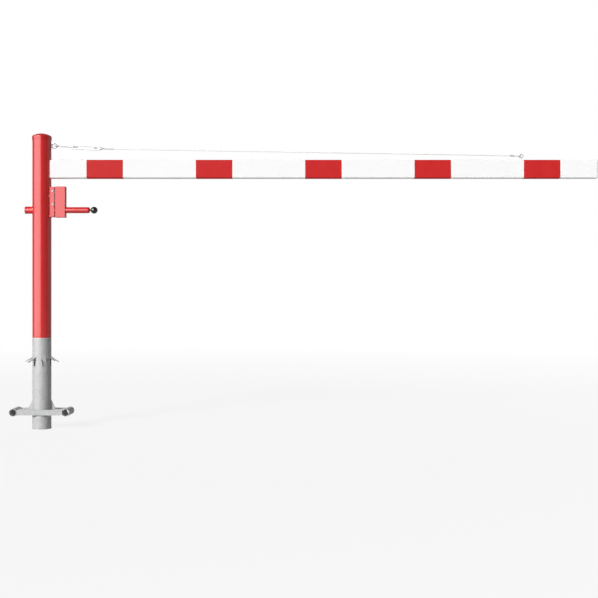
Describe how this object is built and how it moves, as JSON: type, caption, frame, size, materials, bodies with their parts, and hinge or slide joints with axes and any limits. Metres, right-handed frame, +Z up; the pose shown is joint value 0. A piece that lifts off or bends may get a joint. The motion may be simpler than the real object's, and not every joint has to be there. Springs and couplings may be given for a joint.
{
  "type": "swing barrier with buried ground tube",
  "caption": "Manual swing barrier: a post turning on a buried ground tube carries a banded box arm with a stay and turnbuckle, locked by a sliding bolt.",
  "frame": {"origin": "on the turning axis, at the underside of the ground tube's foot plate, 500 mm below the ground line", "axes": "+X along the arm from the post, +Y across it away from the front view, +Z up along the turning axis"},
  "size_m": [3.2222, 0.1756, 1.6245],
  "materials": {
    "red_powder_coat": "gloss red powder coat on steel",
    "red_cap": "glossy red moulded cap",
    "galvanised_steel": "hot-dip galvanised, matt with spangle",
    "bearing_plastic": "natural bearing plastic",
    "white_coated_aluminium": "white powder coat on aluminium",
    "red_film": "red retroreflective film",
    "grey_plastic": "light grey moulded plastic",
    "zinc_plated_steel": "bright zinc plate",
    "wire_rope": "stranded steel wire",
    "dark_steel": "phosphated dark steel",
    "black_plastic": "polished black ball"
  },
  "bodies": {
    "ground_part": {"foot_plate": "galvanised_steel", "ground_tube": "galvanised_steel", "anchor_bar_front": "galvanised_steel", "anchor_bar_back": "galvanised_steel", "anchor_web_left": "galvanised_steel", "anchor_web_right": "galvanised_steel", "anchor_tube_left": "galvanised_steel", "anchor_tube_right": "galvanised_steel", "pivot_tube": "galvanised_steel", "centring_ring_lower": "galvanised_steel", "centring_ring_upper": "galvanised_steel", "thrust_washer": "bearing_plastic"},
    "turning_post": {"arm_end_cap": "grey_plastic", "arm_eye_bolt": "zinc_plated_steel", "arm_eye_nuts": "zinc_plated_steel", "arm_screws": "zinc_plated_steel", "arm_spigot": "red_powder_coat", "arm_stripe_1": "red_film", "arm_stripe_2": "red_film", "arm_stripe_3": "red_film", "arm_stripe_4": "red_film", "arm_stripe_5": "red_film", "arm_tube": "white_coated_aluminium", "bearing_bush_lower": "bearing_plastic", "bearing_bush_upper": "bearing_plastic", "bolt_keeper": "red_powder_coat", "lock_block": "dark_steel", "lock_bracket": "red_powder_coat", "lock_case": "red_powder_coat", "lock_nuts": "zinc_plated_steel", "lock_screws": "zinc_plated_steel", "post_cap": "red_cap", "post_tube": "red_powder_coat", "stay_eye_bolt": "zinc_plated_steel", "stay_eye_nuts": "zinc_plated_steel", "stay_ferrule": "zinc_plated_steel", "stay_thimble": "zinc_plated_steel", "stay_wire": "wire_rope", "turnbuckle_eye_rod": "zinc_plated_steel", "turnbuckle_frame": "zinc_plated_steel", "turnbuckle_lock_nuts": "zinc_plated_steel", "turnbuckle_wire_stud": "zinc_plated_steel"},
    "sliding_bolt": {"lock_bolt": "red_powder_coat", "ball_stud": "zinc_plated_steel", "ball_knob": "black_plastic"}
  },
  "joints": [
    {"name": "swing", "type": "hinge", "parent": "ground_part", "child": "turning_post", "pos_m": [0, 0, 0.5], "axis": [0, 0, 1], "range_deg": [-90, 90]},
    {"name": "lock_slide", "type": "slide", "parent": "turning_post", "child": "sliding_bolt", "axis": [1, 0, 0], "range_m": [-0.133, 0]}
  ]
}
